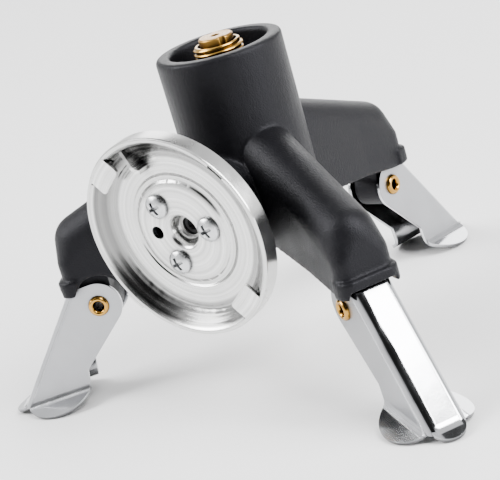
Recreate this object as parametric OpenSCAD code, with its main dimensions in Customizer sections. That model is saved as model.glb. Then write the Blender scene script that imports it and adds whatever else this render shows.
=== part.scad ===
// Folding stand that carries a screw-on camping burner and takes a collared gas cartridge on its side.
//
// One black moulding holds a cup for the burner, three hollow arms and a neck for the cartridge
// coupling. A brass stub with a spring valve stands in the cup, a brass block under the cup's floor
// turns the gas towards the coupling, and three sheet-metal legs fold in under the arms.
//
// The origin is on the cup's axis in the plane of its rim. +Z points up along the stub, and -Y
// points out of the cartridge coupling. Lengths are in millimetres.

/* [Cup] */
// Outside radius of the cup at its rim
cup_r = 13.9; // [13.4:0.1:15]
// Outside radius of the cup at its bottom edge
cup_foot_r = 13.65; // [13.2:0.05:14.5]
// Wall of the cup around the burner socket
cup_wall = 3.2; // [2.6:0.1:3.6]
// Depth of the burner socket below the rim
cup_depth = 12; // [11:0.5:13]
// Thickness of the cup's floor
cup_floor_t = 3; // [2:0.5:4]
// Height of the cup from its rim to its bottom edge
cup_h = 42; // [41:0.5:44]
// Radius on the outer edge of the rim
rim_edge_r = 0.9; // [0.4:0.1:1.2]
// Chamfer on the inner edge of the rim
rim_chamfer = 0.5; // [0.2:0.1:0.8]

/* [Arms] */
// Distance from the cup's axis to an arm's end wall
arm_reach = 48.1; // [47:0.1:52]
// Half the width of an arm, and the radius of its rounded ridge
arm_half_w = 6; // [5.8:0.1:6.6]
// Wall of an arm
arm_wall = 1.3; // [1.1:0.1:1.5]
// Height of an arm's ridge below the rim, where it leaves the cup
ridge_drop = 17.4; // [16:0.1:19]
// Slope of the ridge below the horizontal, in degrees
ridge_slope = 22.5; // [20:0.5:24]
// Slope of an arm's bottom edge below the horizontal, in degrees
edge_slope = 8.7; // [7:0.1:9.5]
// Distance from the cup's axis at which the bottom edge starts to slope
edge_start = 17.5; // [16:0.5:20]
// How far the lip at an arm's end stands out
lip_out = 1.1; // [0.8:0.1:1.8]
// Height of the lip band
lip_h = 3.8; // [3:0.1:4.5]
// How far the lip stands out sideways
lip_side = 0.6; // [0.4:0.1:1]
// Radius of the upright corners at an arm's end
end_corner_r = 3; // [2.5:0.1:3.2]

/* [Hinges] */
// Distance from the cup's axis to a leg's hinge pin
pivot_reach = 41.7; // [41:0.1:42.2]
// Height of the hinge pins below the cup's bottom edge
pivot_under = 8.4; // [8:0.1:9]
// Radius of the hinge barrel under an arm
barrel_r = 4.6; // [4:0.1:4.8]
// Width of the hinge barrel
barrel_w = 6.8; // [6:0.1:7]
// Radius of the tubular rivet's shank
rivet_r = 1.8; // [1.5:0.1:2]
// Radius of the hole through the rivet
rivet_hole_r = 1.1; // [0.8:0.1:1.3]
// Radius of the rivet's heads
rivet_head_r = 2.4; // [2.2:0.1:2.6]
// Height of the rivet's heads
rivet_head_h = 0.9; // [0.6:0.1:1.1]
// Running clearance between the rivet's shank and the barrel
hinge_clear = 0.05; // [0.02:0.01:0.1]

/* [Legs] */
// Sheet thickness of a leg
leg_t = 0.8; // [0.6:0.1:1]
// Half the outside width of a leg's channel
leg_half_w = 4.6; // [4.5:0.05:4.7]
// Distance from the hinge axis to the outer face of the leg's web
web_off = 7.67; // [7.4:0.01:7.9]
// Lean of the web from the vertical with the leg open, in degrees
web_lean = 36.1; // [34:0.1:38]
// Length of the web
leg_len = 31.8; // [30:0.1:34]
// Outer radius of the bends along the web
web_bend_r = 1.8; // [1.2:0.1:2]
// Radius of the rounded end at the hinge
leg_eye_r = 5.3; // [4.6:0.1:5.4]
// Lean of the leg's inner edge from the vertical, in degrees
inner_lean = 45; // [42:1:48]
// Distance of the heel edge outside the hinge axis
heel_x = 7.2; // [6.6:0.1:8]
// Slope of the foot line below the horizontal, in degrees
foot_pitch = 6.9; // [5:0.1:8]
// Width of a foot ear beyond the leg's side
ear_w = 5.3; // [4:0.1:5.8]
// Droop of the ears below the foot plane, in degrees
ear_droop = 22; // [15:1:28]
// How far the toe lip reaches outside the web
toe_w = 2.8; // [2:0.1:3.4]
// Droop of the toe lip below the foot line, in degrees
toe_droop = 14; // [10:1:18]
// Inner radius of the bend between a leg's side and its ear
flare_r = 2; // [1.6:0.1:2.4]
// Inner radius of the bend between the web and the toe lip
toe_flare_r = 5; // [3:0.5:5]

/* [Coupling plate] */
// Height, below the rim, at which the coupling's axis meets the cup's axis
plate_drop = 30.1; // [29.5:0.1:30.7]
// Distance from the cup's axis to the plate's front rim, along the coupling's axis
plate_reach = 30.5; // [30:0.1:31.5]
// Downward tilt of the coupling, so that a lying cartridge rests on the ground, in degrees
plate_tilt = 3.5; // [2.5:0.1:4.5]
// Outside radius of the plate
plate_r = 22.9; // [22.6:0.1:23.4]
// Height of the plate's skirt
skirt_h = 3.8; // [3:0.1:4.4]
// Sheet thickness of the plate
plate_t = 0.8; // [0.7:0.1:0.9]
// Depth of the plate's floor behind its rim
plate_depth = 3.8; // [3.6:0.1:4]
// Width of the sloping wall between the flat floor and the rim
wall_w = 5; // [4.4:0.1:5.4]
// Radius of the raised middle at its foot
dome_r = 12.25; // [12:0.05:12.7]
// Height of the raised middle above the floor
dome_h = 0.8; // [0.6:0.1:1]
// Depth of the stem's well behind the rim
well_depth = 6; // [5.6:0.1:6.4]
// Radius of the well at its mouth
well_mouth_r = 4.4; // [4.2:0.1:4.6]
// Radius of the hole for the cartridge's stem
stem_hole_r = 2.1; // [1.9:0.05:2.3]
// How far a claw reaches in from the plate's edge
claw_len = 5.3; // [4.6:0.1:5.6]
// Width of a claw
claw_w = 7.6; // [6:0.1:8]
// Middle angles of the claws, counted from +X towards +Z
claw_angles = [132, -48];
// Middle angle of the locating key
key_angle = 110; // [109:0.5:112]
// Middle angle of the notch in the rim
notch_angle = 41; // [36:1:46]
// Middle angle of the stop tab on the skirt
stop_angle = -140; // [-144:1:-136]
// Radius of the circle that the plate screws lie on
screw_ring_r = 7.55; // [7.5:0.05:7.8]
// Angles of the plate screws, counted from +X towards +Z
screw_angles = [125, 5, 245];
// Radius of a screw head
screw_head_r = 2.6; // [2.4:0.1:2.7]
// Height of a screw head
screw_head_h = 1.6; // [1.4:0.1:2.1]
// Radius of a screw's shank
screw_r = 1.25; // [1.1:0.05:1.35]
// Length of a screw below its head
screw_len = 9; // [7:0.5:10]

/* [Gas way] */
// Radius of the stub over its thread
stub_r = 5.55; // [5.5:0.05:5.6]
// Height of the stub's top above the rim of the cup
stub_rise = 0.4; // [0.4:0.1:1.2]
// Radius of the stub's flange on the cup's floor
stub_flange_r = 7; // [6.5:0.1:7.4]
// Thickness of the stub's flange
stub_flange_t = 1.8; // [1.4:0.1:2.2]
// Radius of the stub's shank below the floor
shank_r = 4; // [3.8:0.1:4.2]
// Length of the stub's shank below the floor
shank_len = 9; // [8.5:0.5:9.5]
// Radius of the brass block
block_r = 9.8; // [9.4:0.1:10]
// Height of the brass block
block_h = 23; // [22.5:0.5:25]
// Radius of the inlet nozzle in the neck
nozzle_r = 5; // [4.6:0.1:5.1]
// Radius of the gas passages
gas_r = 1.1; // [0.8:0.1:1.3]
// Clearance between fixed parts that slide together
slip = 0.1; // [0.05:0.01:0.15]

/* [Valve] */
// Radius of the raised crown of the valve's retaining ring
crown_r = 3.8; // [3.7:0.1:3.9]
// Height of the crown above the stub's top
crown_h = 1.5; // [0.8:0.1:1.8]
// Radius of the valve pin
pin_r = 0.8; // [0.7:0.05:1]
// Running clearance around the valve pin
pin_clear = 0.1; // [0.05:0.01:0.1]
// Wire thickness of the valve spring
spring_wire = 0.45; // [0.3:0.05:0.5]
// Turns of the valve spring
spring_turns = 6; // [4:1:7]

/* [Hidden] */

$fn = 96;
eps = 0.01;
big = 60;
arm_angles = [-30, 90, 210];

pivot_drop = cup_h + pivot_under;

// Ridge of an arm: its axis lies arm_half_w under the crest line and ends in the nose
crest_start = [cup_r, -ridge_drop];
ridge_dir = [cos(ridge_slope), -sin(ridge_slope)];
ridge_start = crest_start - arm_half_w * [sin(ridge_slope), cos(ridge_slope)];
ridge_len = (arm_reach - arm_half_w - ridge_start.x) / ridge_dir.x;
nose = ridge_start + ridge_len * ridge_dir;
arm_in_w = arm_half_w - arm_wall;
bay_half_w = leg_half_w + 0.4;
bay_start = pivot_reach - 8.7;
end_half_w = bay_half_w + arm_wall;
lip_reach = arm_reach + lip_out;
lip_half_w = end_half_w + lip_side;
lip_top = edge_z(arm_reach) + lip_h;
web_arch = 1.5;
side_arch_r = 5.6;

// Outline of a leg, counted from its hinge axis
web_n = [cos(web_lean), sin(web_lean)];
web_u = [sin(web_lean), -cos(web_lean)];
leg_top = web_off * web_n;
toe = leg_top + leg_len * web_u;
heel = [heel_x + 0.6, toe.y + (toe.x - heel_x - 0.6) * tan(foot_pitch)];
eye_back = leg_eye_r * [-sin(inner_lean), -cos(inner_lean)];
knee = [heel_x, eye_back.y - (heel_x - eye_back.x) / tan(inner_lean)];
eye_top_a = web_lean + acos(leg_eye_r / web_off);
foot_len = norm(toe - heel);
flare_gap = 1.1;
ear_len = foot_len - flare_gap / cos(web_lean - foot_pitch);
ear_turn = 90 - ear_droop;
flare_top = flare_r * sin(ear_turn) + leg_t / 2 / cos(ear_droop)
    - (flare_r * (1 - cos(ear_turn)) + leg_t / 2) * tan(ear_droop);
bend_steps = 8;
toe_pitch = foot_pitch + toe_droop;

// Coupling plate, with depths counted back from its front rim
rim_w = 1.1;
plate_floor_r = plate_r - rim_w - wall_w;
claw_r = plate_r - claw_len;
wall_foot = [plate_floor_r + 0.34 * wall_w, -0.91 * plate_depth];
wall_bend = [plate_floor_r + 0.54 * wall_w, -0.66 * plate_depth];
stop_out = 1;
stop_span = 11;
dome_face = plate_depth - dome_h;
neck_end = plate_reach - dome_face - plate_t;
nozzle_end = plate_reach - well_depth - plate_t;
neck_r = 10.6;
vent_r = 1.5;
recess_len = 3;
recess_w = 0.7;
recess_depth = 1.1;
vent_place = [-6.8, 0];

// Levels of the gas way, counted up from the rim of the cup
floor_top = -cup_depth;
floor_under = floor_top - cup_floor_t;
block_top = floor_under;
shank_end = block_top - shank_len;
stub_edge = 0.35;
seal_t = 1;
gas_level = -plate_drop;
flat_cut = 1.6;
flat_y = block_r - flat_cut;
nozzle_step = 1.1;
nozzle_thread_r = nozzle_r - nozzle_step;
nozzle_root = 3.4;
ring_wire_r = 0.5;
inlet_seal_t = 2;
inlet_seal_r = 3.3;
inlet_seal_bore = 1.4;
filter_r = 2.35;
filter_t = 1;

// Levels of the valve
groove_w = 0.5;
crown_seat = 1.2;
crown_under = stub_rise - crown_seat;
crown_step = 0.6;
retainer_r = crown_r - crown_step;
retainer_len = 3.4;
retainer_end = crown_under - retainer_len;
gasket_t = 1.2;
collar_top = retainer_end - gasket_t;
pin_collar_t = 1;
pin_collar_r = 2.1;
chamber_r = 2.5;
chamber_len = 8;
chamber_end = collar_top - chamber_len;
spring_r = 1.75;
spring_top = collar_top - pin_collar_t;
spring_len = spring_top - chamber_end;

// Height of an arm's bottom edge at a distance from the cup's axis
function edge_z(reach) = -cup_h - max(0, reach - edge_start) * tan(edge_slope);

// Point on the plate's circle of a radius at an angle
function on_ring(radius, angle) = radius * [cos(angle), sin(angle)];

// Puts what is drawn along +X, with +Z up, on arm number i
module on_arm(i) rotate([0, 0, arm_angles[i]]) children();

// Puts what is drawn around a leg's hinge axis on arm number i
module at_pivot(i) on_arm(i) translate([pivot_reach, 0, -pivot_drop]) children();

// Stands a side view, drawn with its distance as x and its height as y, up across an arm
module side_view(width) rotate([90, 0, 0]) linear_extrude(width, center = true) children();

// Turns what is drawn along +Z out of the coupling, with plate x to the right and plate y up
module to_coupling() translate([0, 0, -plate_drop]) rotate([90 + plate_tilt, 0, 0]) children();

// A flat ring or a disc between two levels
module ring(outer, inner, low, high) {
    translate([0, 0, low]) difference() {
        cylinder(r = outer, h = high - low);
        if (inner > 0) translate([0, 0, -1]) cylinder(r = inner, h = high - low + 2);
    }
}

// An upright block with round corners, from x0 to x1
module rounded_block(x0, x1, half_w, corner, low, high) {
    translate([0, 0, low]) linear_extrude(high - low) {
        translate([x0, -half_w + corner]) square([x1 - x0, 2 * (half_w - corner)]);
        translate([x0, -half_w]) square([x1 - x0 - corner, 2 * half_w]);
        for (side = [-1, 1]) translate([x1 - corner, side * (half_w - corner)]) circle(r = corner);
    }
}

// ---- body_shell -------------------------------------------------------------------------------

// The cup with its rounded rim, as a solid
module cup_outside() {
    rotate_extrude() {
        translate([cup_r - rim_edge_r, -rim_edge_r]) circle(r = rim_edge_r);
        polygon([
            [0, 0], [cup_r - rim_edge_r, 0], [cup_r - rim_edge_r, -rim_edge_r],
            [cup_r, -rim_edge_r], [cup_foot_r, -cup_h], [0, -cup_h]]);
    }
}

// The rounded end of an arm, where it widens for the hinge
module arm_end() {
    post_x = bay_start;
    axis_at = ridge_start + ridge_dir * (post_x - ridge_start.x) / ridge_dir.x;
    hull($fn = 32) {
        translate([nose.x, 0, nose.y]) sphere(r = arm_half_w, $fn = 32);
        translate([axis_at.x, 0, axis_at.y]) sphere(r = arm_half_w, $fn = 32);
        for (side = [-1, 1]) {
            translate([arm_reach - end_corner_r, side * (end_half_w - end_corner_r), edge_z(arm_reach)])
                cylinder(r = end_corner_r, h = nose.y - 3.5 - edge_z(arm_reach), $fn = 32);
            translate([post_x, side * (arm_half_w - 0.5), edge_z(post_x)])
                cylinder(r = 0.5, h = axis_at.y - edge_z(post_x), $fn = 32);
        }
    }
}

// The lip band round the end of an arm, scooped out under the leg's web
module arm_lip() {
    low = edge_z(arm_reach);
    rounded_block(pivot_reach + 2.6, lip_reach, lip_half_w, end_corner_r, low, lip_top);
}

// An arm's outer form: a round ridge over upright sides
module arm_outside() {
    translate([ridge_start.x, 0, ridge_start.y]) rotate([0, 90 + ridge_slope, 0])
        cylinder(r = arm_half_w, h = ridge_len);
    side_view(2 * arm_half_w) polygon([
        [cup_foot_r - 3, ridge_start.y], ridge_start, nose,
        [nose.x, edge_z(nose.x)], [edge_start, edge_z(edge_start)], [cup_foot_r - 3, -cup_h]]);
    arm_end();
    arm_lip();
}

// The hollow of an arm: a round roof, straight sides and a wider bay at the hinge
module arm_hollow() {
    hollow_start = cup_r + 1.2;
    roof_at = hollow_start + arm_in_w - ridge_start.x;
    roof = ridge_start + ridge_dir * roof_at / ridge_dir.x;
    bay_roof = ridge_start + ridge_dir * (bay_start - ridge_start.x) / ridge_dir.x;
    hull() {
        translate([roof.x, 0, roof.y]) sphere(r = arm_in_w, $fn = 32);
        translate([nose.x, 0, nose.y]) sphere(r = arm_in_w, $fn = 32);
        translate([hollow_start, -arm_in_w, -big])
            cube([arm_reach - arm_wall - 0.1 - hollow_start, 2 * arm_in_w, 1]);
    }
    side_view(2 * bay_half_w) polygon([
        [bay_start, bay_roof.y - 1.5], [nose.x, nose.y - 1.5], [nose.x, nose.y - 4.7],
        [arm_reach - arm_wall, nose.y - 4.7], [arm_reach - arm_wall, -big], [bay_start, -big]]);
}

// The lug that fills the middle of the hinge bay and ends in the hinge barrel
module hinge_lug() {
    lug_x0 = pivot_reach - 3.6;
    lug_top = nose.y + sqrt(arm_in_w * arm_in_w - barrel_w * barrel_w / 4) + 0.35;
    side_view(barrel_w) {
        translate([pivot_reach, -pivot_drop]) circle(r = barrel_r);
        polygon([
            [lug_x0, -pivot_drop], [pivot_reach + 3.8, -pivot_drop], [pivot_reach + 3.8, lug_top],
            [nose.x, lug_top], [lug_x0, lug_top + (nose.x - lug_x0) * tan(ridge_slope)]]);
    }
}

// One whole arm, ready for the cuts that go through all of the moulding
module arm() {
    difference() {
        arm_outside();
        arm_hollow();
        web_scoop();
        side_arch();
    }
    hinge_lug();
}

// Room for the top of the leg's web under the lip
module web_scoop() {
    low = edge_z(arm_reach);
    translate([arm_reach - 3, 0, 0]) rotate([90, 0, 90]) linear_extrude(big) polygon([
        [-bay_half_w - 1, low - 1], [-bay_half_w - 0.6, low], [-bay_half_w, low + web_arch],
        [bay_half_w, low + web_arch], [bay_half_w + 0.6, low], [bay_half_w + 1, low - 1]]);
}

// Round opening in one side wall, where the rivet is set
module side_arch() {
    translate([pivot_reach - 1.3, bay_half_w - 0.6, -pivot_drop + 1.9]) rotate([-90, 0, 0])
        cylinder(r = side_arch_r, h = big);
}

// The neck that carries the coupling plate, with its screw holes and the vent pocket
module neck() {
    to_coupling() cylinder(r = neck_r, h = neck_end);
}

// Everything that is cut out of the middle of the moulding
module middle_cuts() {
    bore_r = cup_r - cup_wall;
    translate([0, 0, floor_top]) cylinder(r = bore_r, h = cup_depth + 1);
    translate([0, 0, -rim_chamfer])
        cylinder(r1 = bore_r, r2 = bore_r + rim_chamfer + eps, h = rim_chamfer + eps);
    translate([0, 0, floor_under - 1]) cylinder(r = shank_r + slip, h = cup_floor_t + 2);
    translate([0, 0, -big]) cylinder(r = block_r + slip, h = big + block_top);
    to_coupling() {
        translate([0, 0, flat_y - 3]) cylinder(r = nozzle_r + slip, h = neck_end);
        translate([0, 0, neck_end - 1.2])
            cylinder(r1 = nozzle_r + slip, r2 = well_mouth_r + plate_t + 0.6, h = 1.2 + eps);
        for (a = screw_angles) translate(on_ring(screw_ring_r, a))
            translate([0, 0, neck_end - screw_len - 1]) cylinder(r = screw_r + 0.02, h = screw_len + 2);
        translate(vent_place) translate([0, 0, neck_end - 3]) cylinder(r = vent_r, h = 4);
    }
}

module body_shell() {
    color("#26272b") difference() {
        union() {
            cup_outside();
            for (i = [0:2]) on_arm(i) arm();
            neck();
        }
        middle_cuts();
        for (i = [0:2]) at_pivot(i) rotate([90, 0, 0])
            cylinder(r = rivet_r + hinge_clear, h = barrel_w + 2, center = true);
    }
}

// ---- legs and rivets --------------------------------------------------------------------------

// Outline of a leg's side, with the round eye at its hinge
module leg_outline() {
    circle(r = leg_eye_r);
    polygon([
        on_ring(leg_eye_r, eye_top_a), leg_top, toe, heel, knee, eye_back,
        on_ring(leg_eye_r, 180), on_ring(leg_eye_r, 150)]);
}

// Half round-cornered section of a channel, with its web at x = face
module channel_section(face, half_w, bend) {
    translate([face - 20, -half_w]) square([20 - bend, 2 * half_w]);
    translate([face - 20, bend - half_w]) square([20, 2 * (half_w - bend)]);
    for (side = [-1, 1]) translate([face - bend, side * (half_w - bend)]) circle(r = bend);
}

// The folded channel before it is cut to the leg's outline
module leg_channel() {
    rotate([0, -web_lean, 0]) linear_extrude(4 * leg_len, center = true) difference() {
        channel_section(web_off, leg_half_w, web_bend_r);
        channel_section(web_off - leg_t, leg_half_w - leg_t, web_bend_r - leg_t);
    }
}

// A flat tab with a round edge that stands out chord wide and reach long along +Y
module round_tab(chord, reach, root) {
    tab_r = (chord * chord / 4 + reach * reach) / (2 * reach);
    linear_extrude(leg_t) {
        intersection() {
            translate([0, reach - tab_r]) circle(r = tab_r);
            translate([-chord, 0]) square([2 * chord, chord]);
        }
        translate([-chord / 2, -root]) square([chord, root + eps]);
    }
}

// Points along the bend of a foot's ear, at a radius, with y outward and z up from the foot line
function bend_points(radius) = [
    for (i = [0:bend_steps]) [leg_half_w + flare_r - 0.03, flare_top]
        + on_ring(radius, 180 + ear_turn * i / bend_steps)];

// Puts a section, drawn with y outward and z up from the foot line, all along one side's foot
module along_foot(side) {
    middle = (toe + heel) / 2;
    intersection() {
        translate([middle.x, 0, middle.y]) rotate([0, foot_pitch, 0]) mirror([0, side < 0 ? 1 : 0, 0])
            rotate([90, 0, 90]) linear_extrude(foot_len + 1, center = true) children();
        rotate([0, -web_lean, 0]) translate([web_off - flare_gap - big, -big, -big])
            cube([big, 2 * big, 2 * big]);
    }
}

// The ear that flares out from one side of a leg's foot, with side 1 or -1, before its back is cut
module ear(side) {
    run = ear_w + 2;
    slant = [cos(ear_droop), -sin(ear_droop)];
    face = bend_points(flare_r);
    tip = face[bend_steps] + run * slant;
    start = (toe + heel) / 2 + (ear_len - foot_len) / 2 * [cos(foot_pitch), -sin(foot_pitch)];
    reach = ear_w + leg_t / 2;
    tab_r = (ear_len * ear_len / 4 + reach * reach) / (2 * reach);
    intersection() {
        along_foot(side) polygon(concat(
            [[leg_half_w - leg_t / 2, flare_top + 0.6], [leg_half_w - 0.05, flare_top + 0.6]],
            face, [tip, [tip.x, -6], [leg_half_w - leg_t / 2, -6]]));
        translate([start.x, 0, start.y]) rotate([0, foot_pitch, 0]) mirror([0, side < 0 ? 1 : 0, 0])
            translate([0, leg_half_w - leg_t / 2, 0]) rotate([-ear_droop, 0, 0])
                translate([0, reach - tab_r, -4]) cylinder(r = tab_r, h = 8);
    }
}

// Room behind the bend and under the ear, so that the sheet keeps its thickness
module ear_back(side) {
    back = bend_points(flare_r + leg_t);
    tip = back[bend_steps] + (ear_w + 3) * [cos(ear_droop), -sin(ear_droop)];
    along_foot(side) polygon(concat(
        [[leg_half_w - leg_t - 0.1, flare_top]], back,
        [tip, [tip.x, -9], [leg_half_w - leg_t - 0.1, -9]]));
}

// The lip that flares out of the web at the toe
module toe_lip() {
    flat_w = 2 * (leg_half_w - web_bend_r);
    out = [cos(toe_pitch), -sin(toe_pitch)];
    lip_n = [sin(toe_pitch), cos(toe_pitch)];
    corner = toe + leg_t / 2 / (web_u * lip_n) * web_u;
    run = toe_flare_r * tan((90 - web_lean - toe_pitch) / 2);
    middle = corner - run * web_u + toe_flare_r * web_n;
    translate([toe.x, 0, toe.y]) rotate([0, toe_pitch, 0]) rotate([0, 0, -90])
        translate([0, 0, -leg_t / 2]) round_tab(flat_w + 1.6, toe_w, leg_t);
    side_view(flat_w) polygon(concat(
        [corner - 0.3 * (web_n + lip_n), corner - run * web_u - 0.3 * web_n],
        [for (i = [0:4]) middle
            - (toe_flare_r + 0.02) * on_ring(1, web_lean + (90 - web_lean - toe_pitch) * i / 4)],
        [corner + run * out - 0.3 * lip_n]));
}

// A leg around its hinge axis
module leg() {
    difference() {
        union() {
            intersection() {
                leg_channel();
                side_view(2 * leg_half_w + 2) leg_outline();
            }
            for (side = [-1, 1]) ear(side);
            toe_lip();
        }
        for (side = [-1, 1]) ear_back(side);
        rotate([90, 0, 0]) cylinder(r = rivet_r + 0.02, h = 4 * leg_half_w, center = true);
    }
}

module leg_1() color("#c9cbcd") at_pivot(0) leg();
module leg_2() color("#c9cbcd") at_pivot(1) leg();
module leg_3() color("#c9cbcd") at_pivot(2) leg();

// A tubular rivet with two rounded heads outside the leg's sides
module rivet() {
    head_edge = min(0.35, rivet_head_h / 2, (rivet_head_r - rivet_r) / 2);
    half = leg_half_w + rivet_head_h;
    rotate([90, 0, 0]) rotate_extrude() polygon([
        [rivet_hole_r + 0.4, -half], [rivet_head_r - head_edge, -half],
        [rivet_head_r, -half + head_edge], [rivet_head_r, -leg_half_w], [rivet_r, -leg_half_w],
        [rivet_r, leg_half_w], [rivet_head_r, leg_half_w], [rivet_head_r, half - head_edge],
        [rivet_head_r - head_edge, half], [rivet_hole_r + 0.4, half],
        [rivet_hole_r, half - 0.4], [rivet_hole_r, -half + 0.4]]);
}

module rivet_1() color("#c79a3c") at_pivot(0) rivet();
module rivet_2() color("#c79a3c") at_pivot(1) rivet();
module rivet_3() color("#c79a3c") at_pivot(2) rivet();

// ---- coupling_plate and its screws ------------------------------------------------------------

// Face of the pressed sheet from the stem hole out to the rim, as radius and height
plate_face = [
    [stem_hole_r, -well_depth], [2.75, -well_depth], [3.05, -well_depth + 0.4],
    [3.2, -well_depth + 1.4], [3.45, -dome_face - 0.8], [3.8, -dome_face - 0.3],
    [well_mouth_r, -dome_face], [dome_r - 1.15, -dome_face], [dome_r, -plate_depth],
    [plate_floor_r, -plate_depth], wall_foot, wall_bend, [plate_r - rim_w, -0.2]];
face_last = len(plate_face) - 1;

// Direction square to the sheet, towards its back, after point i of its face
function sheet_back(i) = let (
    j = max(0, min(i, face_last - 1)),
    run = plate_face[j + 1] - plate_face[j]) [run.y, -run.x] / norm(run);

// Point on the back of the sheet behind point i of its face
function back_point(i) = let (
    before = sheet_back(i - 1),
    after = sheet_back(i))
    plate_face[i] + plate_t * (before + after) / (1 + before * after);

// Section of the pressed plate, with its distance from the stem's axis as x and its depth as -y
module plate_section() {
    skirt_in = plate_r - plate_t;
    wall_run = plate_face[face_last] - plate_face[face_last - 1];
    wall_back = back_point(face_last - 1);
    groove_end = wall_back.y + (skirt_in - wall_back.x) * wall_run.y / wall_run.x;
    polygon(concat(
        plate_face,
        [[plate_r - rim_w + 0.3, 0], [plate_r - 0.5, 0], [plate_r - 0.15, -0.15],
         [plate_r, -0.5], [plate_r, -skirt_h], [skirt_in, -skirt_h], [skirt_in, groove_end]],
        [for (i = [face_last - 1:-1:0]) back_point(i)]));
}

// A part of a turned disc between two radii, over an arc around a middle angle
module arc_block(inner, outer, middle, span, low, high) {
    reach = 2 * outer;
    translate([0, 0, low]) linear_extrude(high - low) intersection() {
        difference() {
            circle(r = outer);
            circle(r = inner);
        }
        polygon([
            [0, 0], on_ring(reach, middle - span / 2),
            on_ring(reach, middle), on_ring(reach, middle + span / 2)]);
    }
}

// A claw, a tongue with round corners that reaches in from the rim
module claw() {
    corner = 0.9;
    tip = claw_w / 2 - corner;
    translate([0, 0, 0.05 - plate_t]) linear_extrude(plate_t) intersection() {
        circle(r = plate_r - rim_w / 2);
        union() {
            translate([claw_r + corner, -claw_w / 2]) square([plate_r, claw_w]);
            translate([claw_r, -tip]) square([plate_r, 2 * tip]);
            for (side = [-1, 1]) translate([claw_r + corner, side * tip]) circle(r = corner);
        }
    }
}

// The narrow slots that part a claw from the rim on both sides
module claw_slots() {
    for (side = [-1, 1]) translate([claw_r + 2, side * (claw_w / 2 + 0.25) - 0.3, -1.5])
        cube([sqrt(pow(plate_r - plate_t - 0.1, 2) - pow(claw_w / 2 + 0.55, 2)) - claw_r - 2, 0.6, 3]);
}

// The curved key that stands up from the floor against the wall
module plate_key() {
    bend = 2.4;
    start = plate_floor_r + 0.8;
    rotate([0, 0, key_angle]) intersection() {
        translate([0, 0, -plate_depth - 0.3]) linear_extrude(plate_depth - 0.6) {
            translate([start, -0.45]) square([4, 0.9]);
            translate([start, -bend]) intersection() {
                difference() {
                    circle(r = bend + 0.45);
                    circle(r = bend - 0.45);
                }
                polygon([[0, 0], on_ring(6, 88), on_ring(6, 125), on_ring(6, 160)]);
            }
        }
        rotate_extrude() polygon([
            [0, 0], [plate_r - rim_w, -0.5], wall_bend + [0.2, -0.2], wall_foot + [0.1, -0.3],
            [plate_floor_r, -plate_depth - 0.3], [0, -plate_depth - 0.3]]);
    }
}

module coupling_plate() {
    color("#d4d5d6") to_coupling() translate([0, 0, plate_reach]) difference() {
        union() {
            rotate_extrude() plate_section();
            for (a = claw_angles) rotate([0, 0, a]) claw();
            arc_block(plate_r - plate_t / 2, plate_r + stop_out, stop_angle, stop_span, -2, -0.6);
            plate_key();
        }
        for (a = claw_angles) rotate([0, 0, a]) claw_slots();
        arc_block(plate_r - rim_w - 0.3, plate_r - 0.45, notch_angle, 10, -0.7, 1);
        for (a = screw_angles) translate(on_ring(screw_ring_r, a))
            translate([0, 0, -big / 2]) cylinder(r = screw_r + 0.3, h = big);
        translate(vent_place) translate([0, 0, -big / 2]) cylinder(r = vent_r, h = big);
    }
}

// A pan-head screw with a cross recess, its seat at z = 0 and its shank down
module plate_screw() {
    dome = screw_head_h * 0.55;
    cap_r = (screw_head_r * screw_head_r + dome * dome) / (2 * dome);
    difference() {
        union() {
            intersection() {
                cylinder(r = screw_head_r, h = screw_head_h);
                translate([0, 0, screw_head_h - cap_r]) sphere(r = cap_r);
            }
            translate([0, 0, -screw_len]) cylinder(r = screw_r, h = screw_len + eps);
        }
        for (turn = [0, 90]) rotate([0, 0, turn + 20])
            translate([-recess_len / 2, -recess_w / 2, screw_head_h - recess_depth])
                cube([recess_len, recess_w, screw_head_h]);
    }
}

module plate_screws() {
    color("#b9bbbd") to_coupling() for (a = screw_angles)
        translate(on_ring(screw_ring_r, a)) translate([0, 0, plate_reach - dome_face]) plate_screw();
}

// ---- gas way ----------------------------------------------------------------------------------

module outlet_stub() {
    color("#c9a14a") difference() {
        union() {
            translate([0, 0, floor_top]) cylinder(r = stub_flange_r, h = stub_flange_t, $fn = 6);
            translate([0, 0, floor_top]) cylinder(r = stub_r, h = stub_rise - stub_edge - floor_top);
            translate([0, 0, stub_rise - stub_edge])
                cylinder(r1 = stub_r, r2 = stub_r - stub_edge, h = stub_edge);
            ring(shank_r, 0, shank_end, floor_top + eps);
        }
        translate([0, 0, retainer_end]) cylinder(r = retainer_r + 0.03, h = big);
        translate([0, 0, crown_under]) cylinder(r = crown_r + groove_w, h = big);
        ring(chamber_r + 0.7, 0, collar_top, retainer_end + eps);
        ring(chamber_r, 0, chamber_end, collar_top + eps);
        ring(gas_r, 0, -big, chamber_end + eps);
    }
}

module valve_retainer() {
    crown_top = stub_rise + crown_h;
    color("#d2a850") difference() {
        union() {
            ring(crown_r, 0, crown_under, crown_top - 0.3);
            translate([0, 0, crown_top - 0.3]) cylinder(r1 = crown_r, r2 = crown_r - 0.3, h = 0.3);
            ring(retainer_r, 0, retainer_end, crown_under + eps);
        }
        ring(pin_r + pin_clear, 0, -big, big);
        for (turn = [0, 180]) rotate([0, 0, turn - 30])
            translate([crown_r - 0.8, -0.6, crown_under + 0.6]) cube([3, 1.2, big]);
    }
}

module valve_gasket() color("#303234") ring(chamber_r + 0.65, pin_r + 0.1, collar_top, retainer_end);

module valve_pin() {
    pin_top = stub_rise + crown_h - 1.2;
    color("#e0c070") rotate_extrude() polygon([
        [0, pin_top], [pin_r - 0.3, pin_top], [pin_r, pin_top - 0.3],
        [pin_r, collar_top], [pin_collar_r, collar_top], [pin_collar_r, spring_top],
        [spring_r - spring_wire, spring_top], [spring_r - spring_wire, spring_top - 3.4],
        [0, spring_top - 3.8]]);
}

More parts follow.
